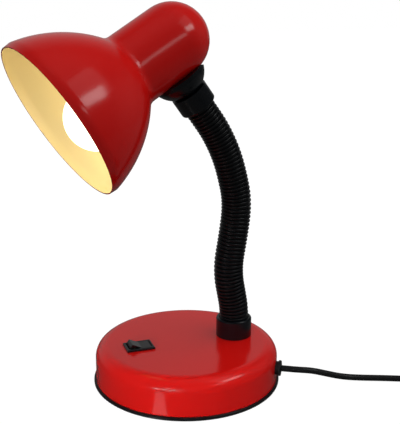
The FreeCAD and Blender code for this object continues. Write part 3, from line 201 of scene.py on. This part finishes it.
def coil_route():
    """Control points of the coil, half turn by half turn: inwards below, outwards on top."""
    ahead = Vector((cos(COIL_HEADING), sin(COIL_HEADING), 0))
    way, spot, points = ahead.copy(), COIL_ENTRY + ahead * CORD_THICK, [COIL_ENTRY.copy()]
    turn_in = COIL_HALVES // 2 - 1
    for half in range(COIL_HALVES):
        radius = COIL_INNER + abs(half - turn_in) * COIL_STEP / 2
        climb = COIL_STEP if half == turn_in else 0.0
        left = Vector((0, 0, 1)).cross(way)
        centre = spot + left * radius
        reach = radius / cos(pi / (2 * HALF_TURN_POINTS))
        for k in range(HALF_TURN_POINTS):
            angle = pi * (k + 0.5) / HALF_TURN_POINTS
            lift = Vector((0, 0, climb * (1 - cos(angle)) / 2))
            points.append(centre + (way * sin(angle) - left * cos(angle)) * reach + lift)
        spot = spot + left * (2 * radius) + Vector((0, 0, climb))
        way = -way
    leave = spot + way * CORD_THICK
    aside = Vector((0, 0, 1)).cross(way) * TAIL_BOW
    plug = Vector((leave.x, leave.y, PLUG_HEIGHT)) + way * TAIL_LONG + aside
    points += [spot + way * 0.5, leave]
    return points, leave, plug, way


coil_points, coil_leave, plug_back, plug_way = coil_route()
tail = [coil_leave + plug_way * TAIL_END, plug_back - plug_way * TAIL_END, plug_back]
straight = Vector((cos(EXIT_HEADING), sin(EXIT_HEADING), 0)) * EXIT_STRAIGHT
cord_points = [CORD_EXIT, CORD_EXIT + straight] + [Vector(p) for p in CORD_ROUTE] + coil_points + tail
cord_data = bpy.data.curves.new("supply_cord", "CURVE")
cord_data.dimensions = "3D"
spline = cord_data.splines.new("NURBS")
spline.points.add(len(cord_points) - 1)
for place, point in zip(spline.points, cord_points):
    place.co = (*(point * MM), 1)
spline.order_u = 3
spline.use_endpoint_u = True
spline.resolution_u = 6
cord_data.bevel_depth = CORD_THICK / 2 * MM
cord_data.bevel_resolution = 6
cord_data.use_fill_caps = True
supply_cord = bpy.data.objects.new("supply_cord", cord_data)
bpy.context.scene.collection.objects.link(supply_cord)
print("the cord's route has", len(cord_points), "points")

# %% [markdown]
# ## Materials
# Each material starts from what the real one is. Colours are written as they look on a screen
# and turned to linear light by one function.

# %% Helpers for materials


def linear(hex_colour):
    """A screen colour such as #FFFFFF, as linear light with full opacity."""
    parts = [int(hex_colour[i:i + 2], 16) / 255 for i in (1, 3, 5)]
    return tuple(c / 12.92 if c <= 0.04045 else ((c + 0.055) / 1.055) ** 2.4 for c in parts) + (1.0,)


def add(tree, kind, settings=None, **links):
    """Adds a node; a link's name is a socket, and its value a number, a colour or a socket."""
    made = tree.nodes.new(kind)
    for name, value in (settings or {}).items():
        setattr(made, name, value)
    for name, value in links.items():
        socket = made.inputs[int(name[1:]) if name[0] == "_" else name.replace("_", " ")]
        if isinstance(value, bpy.types.NodeSocket):
            tree.links.new(value, socket)
        else:
            socket.default_value = value
    return made


def finish_of(name):
    """A new material with an empty tree, its shader and its output."""
    made = bpy.data.materials.new(name)
    made.use_nodes = True
    tree = made.node_tree
    tree.nodes.clear()
    shader = add(tree, "ShaderNodeBsdfPrincipled")
    add(tree, "ShaderNodeOutputMaterial", Surface=shader.outputs[0])
    place = add(tree, "ShaderNodeTexCoord").outputs["Object"]
    return made, tree, shader, place


# %% [markdown]
# ### Baked enamel, red, and white with a painted warm tint
# The shade and the base are sheet steel under a baked enamel. Sprayed and baked paint flows
# into a smooth coat with a very faint waviness, called orange peel, a few millimetres across.
# It mirrors its surroundings softly at its own gloss, strongly only where it is seen edge-on.

# %% Enamel
PEEL_MM = 3.0


def enamel(name, colour, deeper, gloss):
    made, tree, shader, place = finish_of(name)
    cloud = add(tree, "ShaderNodeTexNoise", Vector=place, Scale=1 / (45 * MM), Detail=2.0)
    tint = add(tree, "ShaderNodeMix", {"data_type": "RGBA"}, Factor=cloud.outputs["Fac"])
    tint.inputs[6].default_value = linear(colour)
    tint.inputs[7].default_value = linear(deeper)
    peel = add(tree, "ShaderNodeTexNoise", Vector=place, Scale=1 / (PEEL_MM * MM), Detail=1.0)
    relief = add(tree, "ShaderNodeBump", Height=peel.outputs["Fac"], Strength=0.02, Distance=0.1 * MM)
    tree.links.new(tint.outputs[2], shader.inputs["Base Color"])
    tree.links.new(relief.outputs[0], shader.inputs["Normal"])
    shader.inputs["Roughness"].default_value = gloss
    shader.inputs["IOR"].default_value = 1.5
    return made


enamel_red = enamel("baked_red_enamel", "#BC100C", "#B40D0A", 0.16)
# The shade's inside is white enamel. Its cream tint is painted warm light, on top of the bulb's real
# light.
enamel_white_painted_warm = enamel("white_enamel_painted_warm_tint", "#F6E8B4", "#F3E3AA", 0.35)

# %% [markdown]
# ### Black plastics
# The collars, the saddle and the switch are moulded in glossy ABS. The neck's ribbed skin is
# soft PVC, which is duller, and so is the cord's jacket. The bottom cover has the fine grain
# that a mould is given to hide scratches.

# %% Plastics


def plastic(name, colour, roughness, grain_mm, depth, ior=1.46):
    made, tree, shader, place = finish_of(name)
    grain = add(tree, "ShaderNodeTexNoise", Vector=place, Scale=1 / (grain_mm * MM), Detail=3.0)
    relief = add(tree, "ShaderNodeBump", Height=grain.outputs["Fac"], Strength=depth, Distance=0.05 * MM)
    tree.links.new(relief.outputs[0], shader.inputs["Normal"])
    uneven = add(tree, "ShaderNodeMapRange", Value=grain.outputs["Fac"])
    uneven.inputs["To Min"].default_value = roughness * 0.88
    uneven.inputs["To Max"].default_value = roughness * 1.12
    tree.links.new(uneven.outputs[0], shader.inputs["Roughness"])
    shader.inputs["Base Color"].default_value = linear(colour)
    shader.inputs["IOR"].default_value = ior
    return made


gloss_abs = plastic("gloss_black_abs", "#04070A", 0.24, 1.2, 0.05)
switch_abs = plastic("switch_black_abs", "#08080A", 0.2, 1.2, 0.04)
ribbed_pvc = plastic("ribbed_black_pvc", "#040608", 0.36, 0.8, 0.1)
cord_pvc = plastic("cord_black_pvc", "#0E0F10", 0.42, 0.6, 0.15)
grained_cover = plastic("grained_black_cover", "#0B0B0D", 0.45, 0.5, 0.4)
plug_pvc = plastic("moulded_plug_pvc", "#101112", 0.40, 0.7, 0.2)
mat_foam = plastic("anti_slip_foam", "#1B1B1C", 0.85, 0.8, 0.9)
bush_rubber = plastic("bush_rubber", "#131416", 0.5, 0.8, 0.2)
white_nylon = plastic("white_nylon", "#DEDCD2", 0.5, 0.8, 0.2)
holder_bakelite = plastic("holder_bakelite", "#15120F", 0.35, 1.0, 0.1, ior=1.6)

# %% [markdown]
# ### Metals
# The hidden fixings are zinc-plated steel, the weight is cast iron, and what carries current
# is brass, plain or nickel-plated.

# %% Metals


def metal(name, colour, roughness, grain_mm, depth):
    made, tree, shader, place = finish_of(name)
    grain = add(tree, "ShaderNodeTexNoise", Vector=place, Scale=1 / (grain_mm * MM), Detail=4.0)
    uneven = add(tree, "ShaderNodeMapRange", Value=grain.outputs["Fac"])
    uneven.inputs["To Min"].default_value = roughness * 0.75
    uneven.inputs["To Max"].default_value = roughness * 1.25
    tree.links.new(uneven.outputs[0], shader.inputs["Roughness"])
    relief = add(tree, "ShaderNodeBump", Height=grain.outputs["Fac"], Strength=depth, Distance=0.05 * MM)
    tree.links.new(relief.outputs[0], shader.inputs["Normal"])
    shader.inputs["Base Color"].default_value = linear(colour)
    shader.inputs["Metallic"].default_value = 1.0
    return made


zinc = metal("zinc_plated_steel", "#BFC1BE", 0.3, 2.0, 0.1)
steel = metal("bare_spring_steel", "#8D8F90", 0.35, 1.0, 0.1)
iron = metal("cast_iron", "#3A3836", 0.7, 1.5, 0.8)
nickel = metal("nickel_plated_brass", "#C9C5BB", 0.22, 2.0, 0.05)
brass = metal("brass", "#C9A24C", 0.3, 2.0, 0.1)
alloy = metal("bulb_cap_alloy", "#C4C6C8", 0.3, 1.5, 0.1)

# %% [markdown]
# ### The lit bulb
# A golf-ball bulb has an opal globe that glows evenly. It is far brighter than the paint round
# it, so the camera sees plain white, and its warm light colours the inside of the shade.

# %% Bulb glow
opal, opal_tree, opal_shader, opal_place = finish_of("lit_opal_globe")
opal_shader.inputs["Base Color"].default_value = linear("#FFFFFF")
opal_shader.inputs["Roughness"].default_value = 0.25
opal_shader.inputs["Emission Color"].default_value = linear("#FFEBCB")
opal_shader.inputs["Emission Strength"].default_value = 2.75
haze = add(opal_tree, "ShaderNodeTexNoise", Vector=opal_place, Scale=1 / (4 * MM), Detail=1.0)
haze_relief = add(opal_tree, "ShaderNodeBump", Height=haze.outputs["Fac"], Strength=0.02,
                  Distance=0.05 * MM)
opal_tree.links.new(haze_relief.outputs[0], opal_shader.inputs["Normal"])

# %% Dress the CAD pieces
DRESS = {
    enamel_red: ["base_shell"],
    grained_cover: ["bottom_cover"],
    mat_foam: ["anti_slip_mat"],
    iron: ["base_weight"],
    zinc: ["shell_brackets", "cover_screws", "clamp_screws", "lower_nipple", "lower_washer", "lower_nut",
           "upper_nipple", "saddle_washer", "upper_nut", "holder_bracket", "holder_screws"],
    steel: [f"neck_core_{i}" for i in range(9)],
    gloss_abs: ["neck_base_collar", "neck_top_collar", "head_saddle"],
    switch_abs: ["switch_housing", "switch_rocker"],
    bush_rubber: ["cord_grommet"],
    cord_pvc: ["cord_inner", "neck_lead", "switch_leads"],
    plug_pvc: ["plug_body", "coil_tie"],
    nickel: ["plug_pins", "lampholder_shell", "bulb_contact"],
    brass: ["switch_terminals", "lampholder_contact"],
    white_nylon: ["terminal_block", "cord_clamp"],
    holder_bakelite: ["lampholder_body"],
    opal: ["bulb_globe"],
    alloy: ["bulb_cap"],
}


def dress(thing, made):
    thing.data.materials.clear()
    thing.data.materials.append(made)


for made, names in DRESS.items():
    for name in names:
        dress(nodes[name], made)
print("dressed", sum(len(names) for names in DRESS.values()), "CAD pieces")

# %% Dress the cord
dress(supply_cord, cord_pvc)
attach(supply_cord, "base")
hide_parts("cord_run", "cord_coil", "cord_tail")

# %% [markdown]
# ## The shade
# The shade is spun from one disc of sheet steel: a bell, a short neck, a cylindrical cap and a
# domed end. Outside it is red. Inside it is white enamel, tinted cream as painted warm light.
# The ring that starts at the rim is pulled along that outline, and the sheet's thickness comes
# last, so that both sides keep the same curve.

# %% Shade
HEAD_TURN, HEAD_TIP, HEAD_REACH = radians(9.47), radians(4.55), 88.0
CAP_RADIUS, CAP_END = 26.1, 99.2
BELL_RADIUS, BELL_ALONG, BELL_ACROSS = 94.35, -13.8, -33.9
WAIST_ROUND = 9.0
RIM_RADIUS, RIM_BAND = 58.1, 5.0
SHEET = 0.9
COLLAR_HIGH, DOME_RISE, DOME_LAP = 13.7, 13.4, 3.1
NECK_TO_HEAD = COLLAR_HIGH + DOME_RISE - DOME_LAP + CAP_RADIUS

neck_up = (neck_top.to_3x3() @ Vector((0, 0, 1))).normalized()
side = Vector((1, 0, 0))
neck_back = neck_up.cross(side)
turned_back = neck_back * cos(HEAD_TURN) - side * sin(HEAD_TURN)
head_axis = turned_back * cos(HEAD_TIP) - neck_up * sin(HEAD_TIP)
head_meet = neck_top.translation + neck_up * NECK_TO_HEAD * MM


def facing(origin, along, across):
    """A frame whose Z runs along one direction and whose X leans towards another."""
    z = along.normalized()
    x = (across - z * across.dot(z)).normalized()
    y = z.cross(x)
    return Matrix.Translation(origin) @ Matrix((x, y, z)).transposed().to_4x4()


shade_place = facing(head_meet - head_axis * HEAD_REACH * MM, head_axis, -neck_up)


def bell(s):
    return BELL_ACROSS + sqrt(BELL_RADIUS**2 - (s - BELL_ALONG) ** 2)


waist_r = CAP_RADIUS + WAIST_ROUND
waist_s = BELL_ALONG + sqrt((BELL_RADIUS + WAIST_ROUND) ** 2 - (waist_r - BELL_ACROSS) ** 2)
touch_s = BELL_ALONG + (waist_s - BELL_ALONG) * BELL_RADIUS / (BELL_RADIUS + WAIST_ROUND)
touch_angle = degrees(atan2(touch_s - waist_s, bell(touch_s) - waist_r))
outline = [(RIM_RADIUS, 0), ((RIM_RADIUS + bell(RIM_BAND)) / 2, RIM_BAND / 2)]
outline += [(bell(s), s) for s in [RIM_BAND + (touch_s - RIM_BAND) * i / 20 for i in range(21)]]
outline += arc_rings(waist_r, waist_s, WAIST_ROUND, touch_angle % 360, 180, 6)[1:]
outline += [(CAP_RADIUS, waist_s + (CAP_END - waist_s) * i / 6) for i in range(1, 7)]
outline += arc_rings(0, CAP_END, CAP_RADIUS, 0, 88, 12)[1:]
shade = turned("shade_spun", outline, sides=144, close_end=True)
thicken = shade.modifiers.new("sheet", "SOLIDIFY")
thicken.thickness = SHEET * MM
thicken.offset = -1
thicken.material_offset = 1
thicken.material_offset_rim = 0
dress(shade, enamel_red)
# The inner side gets the white enamel whose cream tint is painted warm light.
shade.data.materials.append(enamel_white_painted_warm)
apply_all(shade)
smooth(shade, angle=50)
settle(shade, shade_place)
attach(shade, "head")
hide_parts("shade")
print("the shade has", len(shade.data.polygons), "faces")

# %% [markdown]
# ## The neck's ribbed skin
# On the real lamp one ribbed tube covers the whole neck. Its ribs stay stiff, and the grooves
# between them open outside a bend and close inside it. Here the skin is cut in the middle of
# each link, where nothing bends. One rib is modelled, repeated up a straight line and laid on
# the neck's line, each rib as a stiff ring.

# %% Ribbed skin
BENDS, FIRST_BEND, LINK = 8, 24.0, 20.0
RIBS_PER_LINK, FIRST_RIBS, LAST_RIBS = 7, 10, 13
RIB_STEP = LINK / RIBS_PER_LINK
CREST, GROOVE, SKIN_BORE, ROUND = 11.0, 9.2, 8.4, 0.6
# half a rib: its radius at shares of the step
RIB_FLANK = [(GROOVE, 0), (GROOVE, 0.16), (CREST - ROUND, 0.22), (CREST - ROUND * 0.4, 0.27),
             (CREST - ROUND * 0.1, 0.35), (CREST, 0.45)]
RIB_PROFILE = [(radius, RIB_STEP * share) for radius, share in RIB_FLANK]
RIB_PROFILE += [(radius, RIB_STEP * (1 - share)) for radius, share in reversed(RIB_FLANK)]


def lay_on_neck(skin, start):
    """Moves a straight tube onto the neck, rib by rib; its Z is the distance along it."""
    for vertex in skin.data.vertices:
        up = vertex.co.z / MM
        rib = round(up / RIB_STEP - 0.5)
        middle = (rib + 0.5) * RIB_STEP
        if abs(abs(up - middle) - RIB_STEP / 2) < 0.01:
            middle = up
        spot = Vector((vertex.co.x, vertex.co.y, (up - middle) * MM))
        vertex.co = neck_place(start + middle) @ spot
    skin.data.update()


def ribbed_length(name, start, ribs):
    skin = turned(name, RIB_PROFILE, sides=72)
    row = skin.modifiers.new("row", "ARRAY")
    row.count = ribs
    row.use_relative_offset = False
    row.use_constant_offset = True
    row.constant_offset_displace = (0, 0, RIB_STEP * MM)
    row.use_merge_vertices = True
    row.merge_threshold = 1e-5
    apply_all(skin)
    lay_on_neck(skin, start)
    wall = skin.modifiers.new("wall", "SOLIDIFY")
    wall.thickness = (GROOVE - SKIN_BORE) * MM
    wall.offset = -1
    apply_all(skin)
    return smooth(skin, angle=60)


for bend in range(BENDS):
    pivot = FIRST_BEND + LINK * bend
    first, last = bend == 0, bend == BENDS - 1
    ribs = FIRST_RIBS if first else LAST_RIBS if last else RIBS_PER_LINK
    start = pivot + LINK / 2 - ribs * RIB_STEP if first else pivot - LINK / 2
    skin = ribbed_length(f"ribbed_skin_{bend + 1}", start, ribs)
    dress(skin, ribbed_pvc)
    neck_place(pivot - LINK / 2).translation
    neck_place(pivot + LINK / 2).translation
    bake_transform(skin)
    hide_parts(*(["neck_sleeve_0"] if first else []), f"neck_sleeve_{bend + 1}")
    print(skin.name, "has", len(skin.data.polygons), "faces")

# %% [markdown]
# ## The studio
# The lamp stands on a pale sheet in a pale room. The camera is to see plain white all round
# it, so the sheet and the room have a white glow that camera rays alone meet in full, and the
# light on the lamp stays gentle. What gloss mirrors is dimmer: a light wall behind the lamp
# and a darker room behind the camera, which keeps the red deep and the blacks black.

# %% Floor
SHEET_WIDE = 6.0
SHEET_DROP = 0.2 * MM
SHEET_GLOW = 0.98
SHEET_GLOSS_GLOW = 0.02
nothing_selected()
bpy.ops.mesh.primitive_plane_add(size=SHEET_WIDE, location=(0, 0, -SHEET_DROP))
floor = bpy.context.object
floor.name = "studio_floor"


def ray_level(tree, diffuse, gloss, camera):
    """A level for each kind of ray: gloss may be a number or a socket."""
    rays = add(tree, "ShaderNodeLightPath")
    seen = add(tree, "ShaderNodeMath", {"operation": "MAXIMUM"}, _0=rays.outputs["Is Camera Ray"],
               _1=rays.outputs["Is Transmission Ray"])
    mirrored = add(tree, "ShaderNodeMapRange", Value=rays.outputs["Is Glossy Ray"],
                   To_Min=diffuse, To_Max=gloss)
    return add(tree, "ShaderNodeMapRange", Value=seen.outputs[0],
               To_Min=mirrored.outputs[0], To_Max=camera)


paper, paper_tree, paper_shader, _ = finish_of("pale_paper")
paper_shader.inputs["Base Color"].default_value = linear("#484848")
paper_shader.inputs["Roughness"].default_value = 1.0
paper_shader.inputs["Specular IOR Level"].default_value = 0.0
paper_shader.inputs["Emission Color"].default_value = (1, 1, 1, 1)
glow = ray_level(paper_tree, 0.0, SHEET_GLOSS_GLOW, SHEET_GLOW)
paper_tree.links.new(glow.outputs[0], paper_shader.inputs["Emission Strength"])
dress(floor, paper)

# %% Room
ROOM_LEVEL = 0.52
GLOSS_BEHIND, GLOSS_FRONT = 0.34, 0.05
WALL_FULL, WALL_ENDS = -0.9, -0.45
world = bpy.data.worlds.new("studio")
world.use_nodes = True
bpy.context.scene.world = world
sky = world.node_tree
sky.nodes.clear()
towards = add(sky, "ShaderNodeSeparateXYZ", Vector=add(sky, "ShaderNodeTexCoord").outputs["Generated"])
mirrored_room = add(sky, "ShaderNodeMapRange", Value=towards.outputs["X"], From_Min=WALL_FULL,
                    From_Max=WALL_ENDS, To_Min=GLOSS_BEHIND, To_Max=GLOSS_FRONT)
room = ray_level(sky, ROOM_LEVEL, mirrored_room.outputs[0], 1.0)
surround = add(sky, "ShaderNodeBackground", Color=(1, 1, 1, 1), Strength=room.outputs[0])
add(sky, "ShaderNodeOutputWorld", Surface=surround.outputs[0])

# %% [markdown]
# ### Soft lights
# A wide light hangs overhead, another stands behind on the right, and a third shines low from
# the left on the base. These are kept out of what gloss mirrors, so they leave no patch in the
# paint. The patches that show come from a faint window-like light with a bright one below it,
# from a long strip that draws the line along the cap, from a small low light that dots the
# base's shoulder, and from a bright card that lies on the table at the left. Each is set by its
# brightness as a surface.

# %% Soft lights


def softbox(name, aim, azimuth, elevation, distance, wide, high, radiance, mirrored):
    """A rectangular light that faces its aim; angles are in degrees and lengths in metres."""
    turn, rise = radians(azimuth), radians(elevation)
    out = Vector((cos(turn) * cos(rise), sin(turn) * cos(rise), sin(rise)))
    bpy.ops.object.light_add(type="AREA", location=Vector(aim) + out * distance)
    lamp = bpy.context.object
    lamp.name = name
    lamp.rotation_euler = out.to_track_quat("Z", "Y").to_euler()
    lamp.data.shape = "RECTANGLE"
    lamp.data.size, lamp.data.size_y = wide, high
    lamp.data.energy = radiance * pi * wide * high
    lamp.visible_glossy = mirrored
    return lamp


# name, aim, azimuth, elevation, distance, width, height, radiance, whether gloss mirrors it
SOFTBOXES = [
    ("overhead_softbox", (0, 0, 0.12), 60, 84, 1.2, 1.0, 1.0, 1.75, False),
    ("window_softbox", (0.05, -0.08, 0.23), 58, 46, 1.1, 0.66, 0.66, 0.42, True),
    ("bright_softbox", (0.05, -0.08, 0.23), 55, 34, 1.1, 0.5, 0.24, 3.4, True),
    ("long_strip", (0.02, -0.02, 0.25), 26, 21, 1.1, 0.3, 0.15, 1.6, True),
    ("right_softbox", (0, 0, 0.2), 95, 12, 1.2, 0.8, 0.8, 2.0, False),
    ("shoulder_light", (0.05, -0.045, 0.025), -54, 7, 0.8, 0.09, 0.05, 18.0, True),
    ("low_left_softbox", (0, 0, 0.012), -38, 7, 0.6, 0.2, 0.2, 1.0, False),
    ("left_card", (0.096, -0.087, 0.001), 0, -90, 0.0, 0.12, 0.013, 1.0, True),
]
LOW_LEFT_SPREAD, CARD_TURN = radians(24), radians(-51)
lights = {row[0]: softbox(*row) for row in SOFTBOXES}
lights["low_left_softbox"].data.spread = LOW_LEFT_SPREAD
lights["left_card"].rotation_euler.z = CARD_TURN

# %% View
scene = bpy.context.scene
scene.view_settings.view_transform = "Standard"
